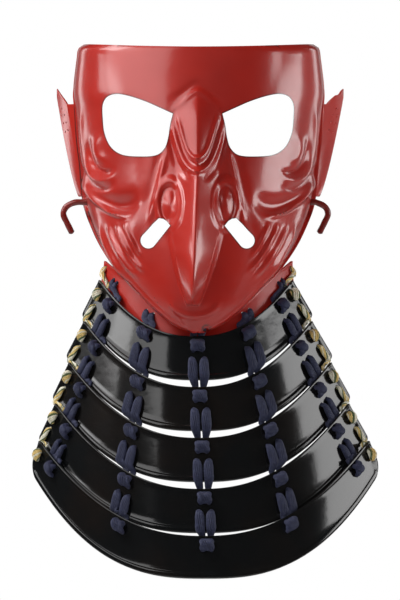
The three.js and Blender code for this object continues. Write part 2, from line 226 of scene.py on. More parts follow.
def smooth(*pairs):
    """A smooth curve through pairs of position and value."""
    at, value = np.array(sorted(pairs), float).T
    last = len(at) - 1
    before = np.maximum(np.arange(len(at)) - 1, 0)
    after = np.minimum(np.arange(len(at)) + 1, last)
    slope = (value[after] - value[before]) / (at[after] - at[before])

    def curve(x):
        i = np.clip(np.searchsorted(at, x), 1, last)
        span = at[i] - at[i - 1]
        t = np.clip((x - at[i - 1]) / span, 0, 1)
        rest = 1 - t
        ends = value[i - 1] * (1 + 2 * t) * rest**2 + value[i] * t * t * (3 - 2 * t)
        return ends + span * (slope[i - 1] * t * rest**2 - slope[i] * t * t * rest)

    return curve


def spline(points, per):
    """Points on a smooth line through the given ones, per of them to each stretch."""
    p = np.array(points, float)
    p = np.vstack([2 * p[0] - p[1], p, 2 * p[-1] - p[-2]])
    t = np.linspace(0, 1, per, endpoint=False)[:, None]
    made = []
    for a, b, c, d in zip(p, p[1:], p[2:], p[3:]):
        bend, twist = 2 * a - 5 * b + 4 * c - d, 3 * b - a - 3 * c + d
        made.append(0.5 * (2 * b + (c - a) * t + bend * t**2 + twist * t**3))
    return np.vstack([*made, p[-2][None]])


# The face: half-width, depth of its side edges and depth of its middle, by height.
half_width = smooth(
    (104, 75), (101.5, 78.6), (97, 79.6), (73, 82.2), (61, 80.9), (41, 78.9), (25, 76.6), (5, 74.7),
    (-4, 73), (-15, 69), (-25, 64.6), (-33, 60.2), (-44, 52.8), (-57, 41.5), (-68, 31), (-77, 20.5),
    (-82, 12.5), (-85, 5),
)
edge_depth = smooth(
    (104, -7), (60, 0), (8, 0), (-4, -3), (-15, -14), (-33, -33), (-50, -49.5), (-68, -67), (-79, -76),
    (-85, -80),
)
front_depth = smooth(
    (104, -66), (90, -69.5), (60, -75), (30, -79.5), (0, -84.5), (-30, -89), (-60, -91.5), (-70, -91),
    (-78, -88.5), (-82.5, -85.5), (-85, -83),
)
# The nose and beak: how far the ridge stands out, and half its width at the root.
ridge_height = smooth(
    (76, 0), (68, 2.2), (58, 5.5), (45, 8.5), (30, 11), (18, 13), (5, 17), (-10, 22), (-25, 26), (-40, 28),
    (-52, 27.5), (-60, 25), (-65.5, 20.5), (-67.2, 14), (-68, 0),
)
ridge_half = smooth(
    (76, 4), (66, 10), (55, 14.5), (45, 16), (30, 14.5), (18, 12.5), (5, 13), (-10, 15.5), (-21, 16),
    (-37, 13), (-48, 10.2), (-60, 6.6), (-65.5, 4.7), (-68, 3.4),
)


def beak_middle(z):
    """How far to the side the beak's ridge is."""
    return np.minimum(z - BEAK_ROOT, 0) * BEAK_LEAN


def beak_at(x, z, inset):
    """How far the nose and beak stand out."""
    level = z - inset
    across = (np.abs(x - beak_middle(z)) + inset) / ridge_half(level)
    # a slightly rounded ridge, flanks that swell a little low down, and a small wall round the beak's foot
    from_ridge = np.sqrt(across**2 + 0.012) - 0.11
    swell = 0.12 * ease((14 - z) / 26)
    rest = 1 - (1 - swell) * from_ridge - swell * from_ridge**2
    flank = 0.5 * (rest + np.sqrt(rest**2 + 0.004)) * bump(np.maximum(across - 1, 0) / 0.5)
    brim = 0.32 * ease((-14 - z) / 22)
    flank = (1 - brim) * flank + brim * (1 - ease((across - 0.88) / 0.26))
    return np.where((level <= 76) & (level >= -68), ridge_height(level) * flank, 0)


def relief_at(x, z):
    """The broad embossing: the nostrils and the swell of the jaw."""
    side = np.abs(x)
    nostril = np.hypot((side - 18.2) / 7.4, (z + 1.5) / 14.5)
    ring = 2.3 * bump(nostril / 0.76) + 1.7 * bump((nostril - 1.06) / 0.34) + 1.2 * bump(nostril / 1.7)
    jaw = 2.0 * bump(np.hypot((side - 49) / 15, (z + 31 + 1.6 * (side - 49)) / 24))
    return ring + jaw


# Fine folds beaten into the iron: the line that each follows (distance from the middle, height), its
# half-width and its height, below zero for a groove. A line that starts or ends at the middle runs on into
# its mirror image.
FOLDS = [
    # the brow's peak, and the folds from the eye's corner to the knot of the nose
    ([(17.5, 59), (11, 64.5), (5, 70.5), (0, 74)], 3.0, 0.6),
    ([(19, 65.5), (12, 71), (5, 77), (0, 80)], 3.6, -0.4),
    ([(14, 60), (11, 48), (7.4, 36), (4, 30), (0, 27.5)], 2.2, 1.2),
    ([(18, 56), (15, 44), (11.2, 32), (7.6, 24.5), (3.6, 20.5), (0, 19)], 2.2, 1.4),
    ([(16.4, 58), (13, 46), (9.3, 34), (5.8, 27), (0, 23)], 1.8, -0.8),
    ([(21, 52), (17.6, 38), (13.4, 25), (8.6, 17.5), (4.4, 13)], 2.8, -1.4),
    # from the nostril's wing down to the mouth's corner
    ([(19.6, 37), (22.8, 22), (26.3, 6), (29.6, -8), (31.6, -15)], 2.8, 1.15),
    ([(23, 40), (27.4, 22), (31.6, 5), (35, -9)], 4.8, -0.9),
    # the pouches under the eye, each ending in a groove
    ([(66, 46), (66.4, 36), (64.4, 29), (59, 26)], 5.6, 2.0),
    ([(71.4, 45), (72, 36), (70.2, 27), (65.8, 21.2), (60, 19.6), (53, 22.4)], 2.5, -2.0),
    ([(74.4, 36), (73.8, 26), (70, 17.6), (65.2, 14.6), (60, 14.4), (53, 18)], 3.4, 2.0),
    ([(75.6, 28), (74, 19), (70.8, 12.4), (65.6, 8.8), (60, 8.6), (53, 12.6)], 2.5, -1.8),
    ([(76.6, 22), (75, 13), (72, 7.6), (66.4, 0.4), (58, -6), (49, -9.4), (43, -9.6)], 2.7, 2.9),
    ([(77.4, 66), (77.2, 48), (76.4, 34), (75.4, 20)], 2.4, 0.9),
    ([(68, 6), (60, -0.6), (51, -3), (43.6, -1), (40, 7)], 9.0, -3.4),
    # the jaw's folds
    ([(47.4, -12), (44.8, -20), (40.3, -29), (35, -37)], 2.3, 1.7),
    ([(53.4, -12), (50.2, -20.5), (45.3, -30.5), (39, -40), (33, -46.5)], 2.3, 2.0),
    ([(59.4, -12), (56, -21.5), (50.6, -32.5), (43.6, -43), (36.5, -51)], 2.4, 2.0),
    ([(65.6, -12), (61.8, -22.5), (56.2, -34), (48.8, -45.5), (40.5, -55)], 2.5, 1.9),
    # the chin
    ([(17, -63), (13, -70), (7, -74), (0, -75)], 3.2, 1.1),
]


def fold_at(side, z, points, width):
    """How fully a fold is raised at each place: 1 on its line, fading across it and at its open ends."""
    line = spline(points, 7)
    middle = (line[1:] + line[:-1]) / 2
    length = np.linalg.norm(np.diff(line, axis=0), axis=1)
    along = (np.arange(len(middle)) + 0.5) / len(middle)
    fade = np.ones(len(middle))
    for end, share in ((points[0], along), (points[-1], 1 - along)):
        if end[0]:
            fade *= np.sin(np.pi / 2 * np.clip(share * 3.4, 0, 1)) ** 2
    total = np.zeros_like(side)
    for place, part in zip(middle, length * fade):
        for mirror in (1, -1):
            if place[0] < 3 * width or mirror == 1:
                away = (side - mirror * place[0]) ** 2 + (z - place[1]) ** 2
                total += part * np.exp(-FALL * away / width**2)
    return total / (width * math.sqrt(math.pi / FALL))


def folds_at(x, z):
    """The fine embossing, out from the surface."""
    side = np.abs(x - 0.5 * beak_middle(z))
    total = sum(height * fold_at(side, z, points, width) for points, width, height in FOLDS)
    widening = half_width(z + 0.5) - half_width(z - 0.5)
    slope = widening / np.hypot(1, widening)
    edge_gap = (half_width(z) - np.abs(x)) * np.sqrt(1 - slope**2)
    jaw_rim = bump((edge_gap - 1.8) / 2.2) * np.clip((-z - 22) / 20, 0, 1)
    return total + jaw_rim


def face_points(across, z, inset):
    """A point of the mask; across runs from -1 to 1, inset is how far inside the outer face it is."""
    angle = across * np.pi / 2
    edge = edge_depth(z) + inset * np.sin(angle) ** 2
    x = (half_width(z) - inset) * np.sin(angle) + beak_middle(z) * bump(across / 0.45)
    deep = np.maximum(edge_depth(z) - front_depth(z) - inset, 0)
    y = edge - deep * np.cos(angle) - beak_at(x, z, inset * 1.1) - relief_at(x, z)
    return np.stack([x, y, z - TOP_DIP * np.cos(angle) ** 2 * bump((TOP - z) / 60)], -1)


def unit(vectors):
    return vectors / np.maximum(np.linalg.norm(vectors, axis=-1, keepdims=True), 1e-9)


def grid_normals(points):
    """Outward normals of a grid whose rows go down and whose columns go towards +X."""
    down = np.gradient(points, axis=0)
    aside = np.gradient(points, axis=1)
    return unit(np.cross(down, aside))


# ------------------------------------------------------------------------------------------
# Meshes


def add_piece(name, data):
    """An object at the origin in the scene."""
    piece = bpy.data.objects.new(name, data)
    bpy.context.scene.collection.objects.link(piece)
    return piece


def mesh_of(name, vertices, faces):
    """A mesh from millimetres, its doubles merged and its faces turned outwards."""
    data = bpy.data.meshes.new(name)
    data.from_pydata((np.asarray(vertices, float) * MM).tolist(), [], [list(map(int, f)) for f in faces])
    made = bmesh.new()
    made.from_mesh(data)
    bmesh.ops.remove_doubles(made, verts=made.verts, dist=1e-7)
    bmesh.ops.dissolve_degenerate(made, edges=made.edges, dist=1e-8)
    bmesh.ops.recalc_face_normals(made, faces=made.faces)
    made.to_mesh(data)
    made.free()
    return data


def shell(name, outer, inner, coarse=1):
    """A closed wall between two grids of points of one size. A coarse of 2 keeps every second point of the
    inner grid."""
    inner = inner[::coarse, ::coarse]
    near, far = grid_faces(outer), grid_faces(inner)
    count = outer.shape[0] * outer.shape[1]
    rim, back_rim = grid_rim(outer), grid_rim(inner) + count
    sides = []
    for i, back in enumerate(back_rim):
        edge = [rim[(coarse * i + j) % len(rim)] for j in range(coarse + 1)]
        sides.append([*edge, back_rim[(i + 1) % len(back_rim)], back])
    vertices = np.vstack([outer.reshape(-1, 3), inner.reshape(-1, 3)])
    return mesh_of(name, vertices, [*near.tolist(), *(far[:, ::-1] + count).tolist(), *sides])


def grid_faces(grid):
    """The four-sided faces between a grid's points."""
    number = np.arange(grid.shape[0] * grid.shape[1]).reshape(grid.shape[:2])
    return np.stack([number[:-1, :-1], number[1:, :-1], number[1:, 1:], number[:-1, 1:]], -1).reshape(-1, 4)


def grid_rim(grid):
    """The numbers of a grid's outermost points, in order."""
    number = np.arange(grid.shape[0] * grid.shape[1]).reshape(grid.shape[:2])
    return np.concatenate([number[0, :-1], number[:-1, -1], number[-1, :0:-1], number[:0:-1, 0]])


def prism(outline, low, high):
    """A bar through an outline on the XZ plane, from depth low to depth high."""
    outline = np.array(outline, float)
    count = len(outline)
    near = np.column_stack([outline[:, 0], np.full(count, low), outline[:, 1]])
    far = near + [0, high - low, 0]
    sides = [(i, (i + 1) % count, count + (i + 1) % count, count + i) for i in range(count)]
    return np.vstack([near, far]), [list(range(count))[::-1], list(range(count, 2 * count)), *sides]


def rod(start, end, radius, sides=12):
    """A straight round bar."""
    start, end = np.array(start, float), np.array(end, float)
    along = unit(end - start)
    first = unit(np.cross(along, [0, 0, 1] if abs(along[2]) < 0.9 else [1, 0, 0]))
    second = np.cross(along, first)
    turn = np.linspace(0, 2 * np.pi, sides, endpoint=False)[:, None]
    ring = radius * (np.cos(turn) * first + np.sin(turn) * second)
    walls = [(i, (i + 1) % sides, sides + (i + 1) % sides, sides + i) for i in range(sides)]
    ends = [list(range(sides))[::-1], list(range(sides, 2 * sides))]
    return np.vstack([ring + start, ring + end]), [*walls, *ends]


def joined(name, solids):
    """Several solids as one mesh."""
    vertices, faces, count = [], [], 0
    for points, sides in solids:
        vertices.append(points)
        faces += [[count + i for i in face] for face in sides]
        count += len(points)
    return mesh_of(name, np.vstack(vertices), faces)


def settle(piece):
    """Turns a piece's modifiers into plain mesh."""
    bpy.context.view_layer.update()
    evaluated = piece.evaluated_get(bpy.context.evaluated_depsgraph_get())
    made = bpy.data.meshes.new_from_object(evaluated)
    piece.modifiers.clear()
    made.name = piece.name
    piece.data = made


def cut(piece, tool_mesh):
    """Takes a solid out of a piece."""
    tool = add_piece(piece.name + "_tool", tool_mesh)
    modifier = piece.modifiers.new("cut", "BOOLEAN")
    modifier.operation = "DIFFERENCE"
    modifier.solver = "MANIFOLD"
    modifier.object = tool
    before = len(piece.data.polygons)
    settle(piece)
    bpy.data.objects.remove(tool)
    if len(piece.data.polygons) == before or not piece.data.polygons:
        raise RuntimeError(f"{piece.name} could not be cut")


def round_edges(piece, width, segments, angle):
    """Rounds the edges that turn more than an angle in degrees."""
    modifier = piece.modifiers.new("edges", "BEVEL")
    modifier.width = width * MM
    modifier.segments = segments
    modifier.limit_method = "ANGLE"
    modifier.angle_limit = math.radians(angle)
    settle(piece)


def finish_piece(piece, material, replaced, sharp=35):
    """Shades, paints and fits a piece to the frame."""
    data = piece.data
    data.materials.clear()
    data.materials.append(material)
    data.shade_smooth()
    data.set_sharp_from_angle(angle=math.radians(sharp))
    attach(piece, BODY)
    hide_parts(*replaced)


# ------------------------------------------------------------------------------------------
# Materials


class Paint:
    """A material's nodes, made one after another."""

    def __init__(self, name):
        self.material = bpy.data.materials.new(name)
        self.material.use_nodes = True
        self.nodes = self.material.node_tree.nodes
        self.links = self.material.node_tree.links
        self.shader = self.nodes["Principled BSDF"]
        self.place = self.add("ShaderNodeTexCoord").outputs["Object"]

    def add(self, kind, settings=None, **sockets):
        node = self.nodes.new(kind)
        for key, value in (settings or {}).items():
            setattr(node, key, value)
        for key, value in sockets.items():
            self.set(node, key.replace("_", " "), value)
        return node

    def set(self, node, key, value):
        socket = node.inputs[int(key)] if key.isdigit() else node.inputs[key]
        if isinstance(value, bpy.types.NodeSocket):
            self.links.new(value, socket)
        elif hasattr(value, "__len__") and len(value) == 3 and len(socket.default_value) == 4:
            socket.default_value = (*value, 1)
        else:
            socket.default_value = value

    def noise(self, scale, detail, roughness=0.55, stretch=(1, 1, 1)):
        mapped = self.add("ShaderNodeMapping", Vector=self.place, Scale=stretch)
        made = self.add(
            "ShaderNodeTexNoise", Vector=mapped.outputs[0], Scale=scale, Detail=detail, Roughness=roughness
        )
        return made.outputs["Fac"]

    def math(self, operation, first, second=0.0):
        node = self.add("ShaderNodeMath", {"operation": operation})
        self.set(node, "0", first)
        self.set(node, "1", second)
        return node.outputs[0]

    def step(self, value, low, high, start=0.0, end=1.0):
        node = self.add("ShaderNodeMapRange", Value=value)
        for key, number in {"From Min": low, "From Max": high, "To Min": start, "To Max": end}.items():
            node.inputs[key].default_value = number
        return node.outputs[0]

    def mark(self, name):
        return self.add("ShaderNodeAttribute", {"attribute_name": name}).outputs["Fac"]

    def mix(self, share, first, second):
        node = self.add("ShaderNodeMix", {"data_type": "RGBA"})
        self.set(node, "0", share)
        self.set(node, "6", first)
        self.set(node, "7", second)
        return node.outputs[2]

    def bump(self, height, distance, strength=1.0, normal=None):
        node = self.add("ShaderNodeBump", Height=height, Distance=distance, Strength=strength)
        if normal:
            self.set(node, "Normal", normal)
        return node.outputs[0]

    def finish(self, **sockets):
        for key, value in sockets.items():
            self.set(self.shader, key.replace("_", " "), value)
        return self.material


def made_once(make):
    """Each finish is made the first time that it is asked for."""

    def get():
        name = "polished_" + make.__name__
        return bpy.data.materials.get(name) or make(name, bpy.context.scene.guard_finish)

    return get


def red_coat(name, finish, polish, wear=0.0):
    """Red lacquer over beaten iron: painted shade in its hollows, rubbed dark on crests, and a painted dark
    shade along its cut edges.
    """
    paint = Paint(name)
    depth = paint.noise(14, 3)
    body = paint.mix(paint.step(depth, 0.35, 0.75), finish.red[:], finish.deep_red[:])
    crest = paint.add("ShaderNodeNewGeometry").outputs["Pointiness"]
    # Painted shade: where pointiness is low, in the hollows, the red is darkened towards the deep red.
    shade_in_hollows = paint.step(crest, 0.5, 0.44)
    body = paint.mix(paint.math("MULTIPLY", shade_in_hollows, 0.5), body, finish.deep_red[:])
    body = paint.mix(paint.step(crest, 0.57, 0.66, 0.0, 0.85), body, finish.crest[:])
    worn = paint.step(paint.noise(110, 4), 0.25, 0.6, wear * 0.6, wear)
    body = paint.mix(worn, body, finish.browned[:])
    # Painted shade along the cut edges of the openings and the sweat hole.
    bare = paint.mark("bare_edge")
    body = paint.mix(paint.math("MULTIPLY", bare, 0.92), body, finish.bare[:])
    specks = paint.step(paint.noise(900, 2), 0.74, 0.78)
    body = paint.mix(paint.math("MULTIPLY", specks, 0.35), body, finish.red_speck[:])
    peel = paint.noise(260, 2, 0.45)
    beaten = paint.noise(38, 2, 0.4)
    normal = paint.bump(peel, 0.00003)
    normal = paint.bump(beaten, 0.0006, 0.35, normal)
    wiped = paint.noise(60, 5, 0.6, (1, 1, 3))
    paint.set(paint.shader, "Coat Normal", normal)
    return paint.finish(
        Base_Color=body,
        Roughness=paint.step(wiped, 0.3, 0.7, 0.32, 0.46),
        Normal=normal,
        Specular_IOR_Level=0.25,
        Coat_Weight=polish,
        Coat_Roughness=0.17,
        Coat_IOR=1.5,
    )


@made_once
def red_lacquer(name, finish):
    return red_coat(name, finish, 1.0)


@made_once
def worn_red(name, finish):
    """The cord hooks' lacquer, browned where the cords have run."""
    return red_coat(name, finish, 0.8, 0.75)


@made_once
def rubbed_red(name, finish):
    """The throat plate's lacquer, rubbed dull under the jaw."""
    return red_coat(name, finish, 0.12)


@made_once
def black_lacquer(name, finish):
    paint = Paint(name)
    aged = paint.step(paint.noise(11, 4), 0.45, 0.8)
    body = paint.mix(aged, finish.black[:], finish.brown[:])
    dust = paint.step(paint.noise(700, 2), 0.72, 0.78)
    body = paint.mix(paint.math("MULTIPLY", dust, 0.5), body, finish.dust[:])
    scratches = paint.step(paint.noise(30, 5, 0.7, (1, 1, 14)), 0.66, 0.72)
    normal = paint.bump(paint.noise(220, 2, 0.45), 0.00003)
    normal = paint.bump(paint.noise(26, 2, 0.4), 0.0005, 0.3, normal)
    paint.set(paint.shader, "Coat Normal", normal)
    wiped = paint.step(paint.noise(50, 5, 0.6), 0.3, 0.7, 0.2, 0.34)
    rough = paint.math("ADD", wiped, paint.math("MULTIPLY", scratches, 0.2))
    return paint.finish(
        Base_Color=body,
        Roughness=rough,
        Normal=normal,
        Specular_IOR_Level=0.0,
        Coat_Weight=1.0,
        Coat_Roughness=0.12,
        Coat_IOR=1.5,
    )


def silk(paint, body, groove, sheen):
    """Fine filaments that run along each yarn with a slight twist."""
    along = paint.mark("along")
    round_it = paint.mark("round")
    lay = paint.math("ADD", paint.math("MULTIPLY", along, 0.55), paint.math("MULTIPLY", round_it, 3.0))
    ply = paint.math("ABSOLUTE", paint.math("SINE", paint.math("MULTIPLY", lay, math.pi)))
    # Painted shade between the filaments.
    body = paint.mix(paint.step(ply, 0.0, 0.35, 0.55, 0.0), body, groove)
    normal = paint.bump(ply, 0.00014, 0.8)
    normal = paint.bump(paint.noise(2600, 3, 0.6), 0.00005, 0.7, normal)
    return paint.finish(
        Base_Color=body, Roughness=0.62, Normal=normal, Sheen_Weight=sheen, Sheen_Roughness=0.45
    )


@made_once
def navy_silk(name, finish):
    paint = Paint(name)
    rubbed = paint.step(paint.noise(420, 3), 0.45, 0.75)
    body = paint.mix(rubbed, finish.navy[:], finish.pale_navy[:])
    return silk(paint, body, finish.groove[:], 0.08)


@made_once
def edge_silk(name, finish):
    paint = Paint(name)
    yarn = paint.mark("yarn")
    ramp = paint.add("ShaderNodeValToRGB")
    ramp.color_ramp.interpolation = "CONSTANT"
    tones = [finish.cream, finish.green, finish.gold, finish.cream, finish.gold, finish.green, finish.cream]
    bands = ramp.color_ramp.elements
    bands[1].position = 1 / len(tones)
    for i in range(2, len(tones)):
        bands.new(i / len(tones))
    for element, tone in zip(bands, tones):
        element.color = (*tone, 1)
    paint.links.new(yarn, ramp.inputs[0])
    soiled = paint.step(paint.noise(300, 3), 0.4, 0.8)
    body = paint.mix(paint.math("MULTIPLY", soiled, 0.15), ramp.outputs[0], finish.green[:])
    return silk(paint, body, finish.groove[:], 0.15)


# ------------------------------------------------------------------------------------------
# Bands: the throat plate and the lames


class Band:
    """A band between two curves, each an arch of x = half * u that rises and goes back as |u| to a power;
    u runs from -1 to 1."""

    def __init__(self, top, bottom):
        self.top = {"power": ARCH, **top}
        self.bottom = bottom

    @staticmethod
    def curve(edge, u):
        return np.stack(
            [
                edge["sway"] + edge["half"] * u,
                edge["front"] + edge["deep"] * np.abs(u) ** ARCH,
                edge["level"] + edge["rise"] * np.abs(u) ** edge["power"],
            ],
            -1,
        )

    def point(self, u, down):
        upper, lower = self.curve(self.top, u), self.curve(self.bottom, u)
        return upper + (lower - upper) * np.asarray(down)[..., None]

    def normal(self, u, down):
        across = self.point(u + 0.01, down) - self.point(u - 0.01, down)
        return unit(np.cross(across, self.curve(self.top, u) - self.curve(self.bottom, u)))

    def offset(self, u, down, out):
        return self.point(u, down) + self.normal(u, down) * np.asarray(out)[..., None]

    def tall(self, u):
        """Its height along its slope."""
        return np.linalg.norm(self.curve(self.top, u) - self.curve(self.bottom, u), axis=-1)

    def stretch(self, u):
        """Millimetres along it to a step of 1 in u."""
        return np.linalg.norm(self.point(u + 0.01, 0.2) - self.point(u, 0.2), axis=-1) / 0.01

    def place(self, u, aside, below, out):
        """A place on the band: aside is measured along it from u, below down its slope from the upper edge,
        and out from its middle."""
        return self.offset(np.asarray(u + aside / self.stretch(u)), np.asarray(below / self.tall(u)), out)

    def place_up(self, u, aside, above, out):
        """The same, measured up from the lower edge."""
        return self.place(u, aside, self.tall(u) - above, out)

    def aside(self, u):
        """The direction along it."""
        return unit(self.place(u, 1, 8, 0.0) - self.place(u, -1, 8, 0.0))


def lame_band(k):
    """The k-th lame from the top, from 0. The last hangs a little less, and its lower edge rises further."""
    last = k == LAMES - 1
    sway = SWAY * k - 1.5
    level = -87.8 - LAME_DROP * k + (2.6 if last else 0)
    top = {
        "sway": sway,
        "half": [62.6, 73.9, 85, 95.3, 107.1][k],
        "front": -77 - LAME_STEP * k,
        "deep": 41.5 + 4.9 * k - (1.5 if k else 0),
        "level": level,
        "rise": 36.7 + 6.1 * k,
    }
    bottom = {
        "sway": sway + 0.9,
        "half": [75.2, 86.8, 97.1, 107.4, 114.3][k],
        "front": -83.2 - LAME_STEP * k,
        "deep": 72 if last else 51.8 + 5.2 * k,
        "level": level - (27.5 if last else 28.6),
        "rise": 70 if last else 42.2 + 6.1 * k,
        "power": 2.75 if last else 2.58,
    }
    return Band(top, bottom)


THROAT = Band(
    {"sway": 0, "half": 61, "front": -64, "deep": 39, "level": -70, "rise": 31.5, "power": 1.6},
    {"sway": -0.7, "half": 62.5, "front": -71, "deep": 45, "level": -92, "rise": 39, "power": ARCH},
)
BANDS = [THROAT, *(lame_band(k) for k in range(LAMES))]


def far_place(k):
    """Where the outer navy columns are on the throat plate (0) and each lame, as a share of half a band."""
    return 0.84 + 0.0135 * k if k else 0.868


def edge_place(k):
    """The same for the edge cords."""
    return 0.95 + 0.006 * k if k else 0.98


# The navy columns: the frame's piece, its place by band, and how far its two cords are from its middle.
COLUMNS = [
    ("lacing_far_left", lambda k: -far_place(k), 3),
    ("lacing_mid_left", lambda k: -0.5, 4),
    ("lacing_centre", lambda k: 0.02, 4),
    ("lacing_mid_right", lambda k: 0.515, 4),
    ("lacing_far_right", far_place, 3),
]
EDGES = [("edge_lacing_left", lambda k: -edge_place(k)), ("edge_lacing_right", edge_place)]


def band_grid(band, corner, bead, bead_width, wall, middle_columns):
    """The outer and inner grids of a band: its lower corners are rounded, and a bead is raised at its sides
    and its lower edge, where the grid is finer."""
    fine = np.array([0, 0.4, 0.9, 1.7, 2.5, 2.9, 3.3, 3.8, 4.6])
    sides = fine / 78
    half = np.concatenate([sides, np.linspace(0.085, 1, middle_columns // 2)])
    u = np.concatenate([half - 1, (1 - half)[-2::-1]])
    tall = band.tall(u)
    below = np.array([0, 0.5, 1.0, 1.6, 2.4])
    above = fine[::-1]
    rows = [b / tall for b in below]
    start, end = below[-1] / tall, 1 - above[0] / tall
    rows += [start + (end - start) * t for t in np.linspace(0, 1, 9)[1:-1]]
    rows += [1 - a / tall for a in above]
    down = np.stack(rows)
    from_foot = (1 - down) * tall
    drawn_in = corner - np.sqrt(np.maximum(corner**2 - np.maximum(corner - from_foot, 0) ** 2, 0))
    u_grid = u * (1 - drawn_in / band.stretch(np.ones(1))[0])
    from_side = (1 - np.abs(u)) * band.stretch(u)
    from_edge = np.minimum(np.broadcast_to(from_side, down.shape), from_foot)
    rim = bead * np.clip(1 - np.abs((from_edge - bead_width / 2) / (bead_width / 2 + 0.3)) ** 4, 0, 1)
    crest = 0.25 * bump((down * tall - 0.8) / 1.3)
    outer = band.offset(u_grid, down, wall / 2 + rim + crest)
    inner = band.offset(u_grid, down, -wall / 2 - 0.2 * rim)
    return outer, inner


def lacing_holes(band, k, radius):
    """Round bars through the holes of one band; band 0 is the throat plate."""
    rows = [ROW_IN, ROW_OUT, ROW_DROP][: 2 if k == LAMES else 3]
    place = band.place if k else band.place_up

    def bar(u, aside, row):
        start, end = (place(u, aside, row, out) for out in DRILL)
        return rod(start, end, radius)

    bars = []
    for _, where, spread in COLUMNS:
        for row in rows if k else [THROAT_ROW]:
            aside = spread if row == ROW_DROP else spread * KNOT_SHARE
            bars += [bar(where(k), -aside, row), bar(where(k), aside, row)]
    for _, where in EDGES:
        for row in [EDGE_ROW_IN, *rows[1:]] if k else [THROAT_ROW]:
            bars.append(bar(where(k), 0, row))
    return joined("holes", bars)


# ------------------------------------------------------------------------------------------
# Lacing


def cord_mesh(name, keys, aside):
    """One cord's middle line as loose edges, with what its yarns need at each point. A key is a point in
    millimetres, the cord's half-width and half-thickness there."""
    rough = spline([[*point, wide, thick] for point, wide, thick in keys], 8)
    run = np.concatenate([[0], np.cumsum(np.linalg.norm(np.diff(rough[:, :3], axis=0), axis=1))])
    steps = np.linspace(0, run[-1], int(run[-1] / CORD_STEP))
    line = np.column_stack([np.interp(steps, run, rough[:, i]) for i in range(5)])
    heading = unit(np.gradient(line[:, :3], axis=0))
    out = unit(np.cross(heading, aside))
    side = np.cross(out, heading)
    data = bpy.data.meshes.new(name)
    data.from_pydata((line[:, :3] * MM).tolist(), [(i, i + 1) for i in range(len(line) - 1)], [])
    for key, values in {"side": side, "out": out}.items():
        data.attributes.new(key, "FLOAT_VECTOR", "POINT").data.foreach_set("vector", values.ravel())
    for key, values in {"wide": line[:, 3] * MM, "thick": line[:, 4] * MM, "along": steps}.items():
        data.attributes.new(key, "FLOAT", "POINT").data.foreach_set("value", values)
    return data


def yarn_tree():
    """Geometry Nodes that lay yarns round the middle line of a cord."""
    tree = bpy.data.node_groups.new("braided_cord", "GeometryNodeTree")
    face = tree.interface
    face.new_socket("Geometry", in_out="INPUT", socket_type="NodeSocketGeometry")
    for label, kind, value in [
        ("Yarns", "Int", 14),
        ("Yarn Radius", "Float", 0.0006),
        ("Twist", "Float", 0.06),
        ("Sides", "Int", 6),
        ("Finish", "Material", None),
    ]:
        socket = face.new_socket(label, in_out="INPUT", socket_type="NodeSocket" + kind)
        if value is not None:
            socket.default_value = value
    face.new_socket("Geometry", in_out="OUTPUT", socket_type="NodeSocketGeometry")
    nodes, links = tree.nodes, tree.links

    def add(kind, settings=None, *inputs):
        node = nodes.new(kind)
        for key, value in (settings or {}).items():
            setattr(node, key, value)
        for key, value in inputs:
            if isinstance(value, bpy.types.NodeSocket):
                links.new(value, node.inputs[key])
            else:
                node.inputs[key].default_value = value
        return node

    def maths(operation, first, second=0.0):
        return add("ShaderNodeMath", {"operation": operation}, (0, first), (1, second)).outputs[0]

    def named(label, kind):
        node = add("GeometryNodeInputNamedAttribute", {"data_type": kind}, ("Name", label))
        return node.outputs["Attribute"]

    def scaled(vector, length):
        return add("ShaderNodeVectorMath", {"operation": "SCALE"}, (0, vector), ("Scale", length)).outputs[0]

    def stored(geometry, label, value):
        return add(
            "GeometryNodeStoreNamedAttribute",
            {"data_type": "FLOAT", "domain": "POINT"},
            ("Geometry", geometry),
            ("Name", label),
            ("Value", value),
        ).outputs[0]

    given = nodes.new("NodeGroupInput")
    curve = add("GeometryNodeMeshToCurve", None, ("Mesh", given.outputs["Geometry"]))
    copies = add(
        "GeometryNodeDuplicateElements",
        {"domain": "SPLINE"},
        ("Geometry", curve.outputs[0]),
        ("Amount", given.outputs["Yarns"]),
    )
    index = copies.outputs["Duplicate Index"]
    share = maths("DIVIDE", index, given.outputs["Yarns"])
    lay = maths("MULTIPLY", named("along", "FLOAT"), given.outputs["Twist"])
    phase = maths("ADD", maths("MULTIPLY", share, 2 * math.pi), lay)
    room = maths("MULTIPLY", given.outputs["Yarn Radius"], -1.0)
    wide = maths("MULTIPLY", maths("ADD", named("wide", "FLOAT"), room), maths("COSINE", phase))
    thick = maths("MULTIPLY", maths("ADD", named("thick", "FLOAT"), room), maths("SINE", phase))
    across = scaled(named("side", "FLOAT_VECTOR"), wide)
    outward = scaled(named("out", "FLOAT_VECTOR"), thick)
    shift = add("ShaderNodeVectorMath", {"operation": "ADD"}, (0, across), (1, outward))
    laid = add("GeometryNodeSetPosition", None, ("Geometry", copies.outputs[0]), ("Offset", shift.outputs[0]))
    marked = stored(laid.outputs[0], "yarn", share)
    ring = add(
        "GeometryNodeCurvePrimitiveCircle",
        {"mode": "RADIUS"},
        ("Resolution", given.outputs["Sides"]),
        ("Radius", given.outputs["Yarn Radius"]),
    )
    turn = maths("DIVIDE", add("GeometryNodeInputIndex").outputs[0], given.outputs["Sides"])
    rounded = stored(ring.outputs[0], "round", turn)
    tube = add(
        "GeometryNodeCurveToMesh", None, ("Curve", marked), ("Profile Curve", rounded), ("Fill Caps", True)
    )
    shaded = add("GeometryNodeSetShadeSmooth", None, ("Geometry", tube.outputs[0]))
    real = add("GeometryNodeRealizeInstances", None, ("Geometry", shaded.outputs[0]))
    painted = add(
        "GeometryNodeSetMaterial", None, ("Geometry", real.outputs[0]), ("Material", given.outputs["Finish"])
    )
    result = nodes.new("NodeGroupOutput")
    links.new(painted.outputs[0], result.inputs[0])
    return tree


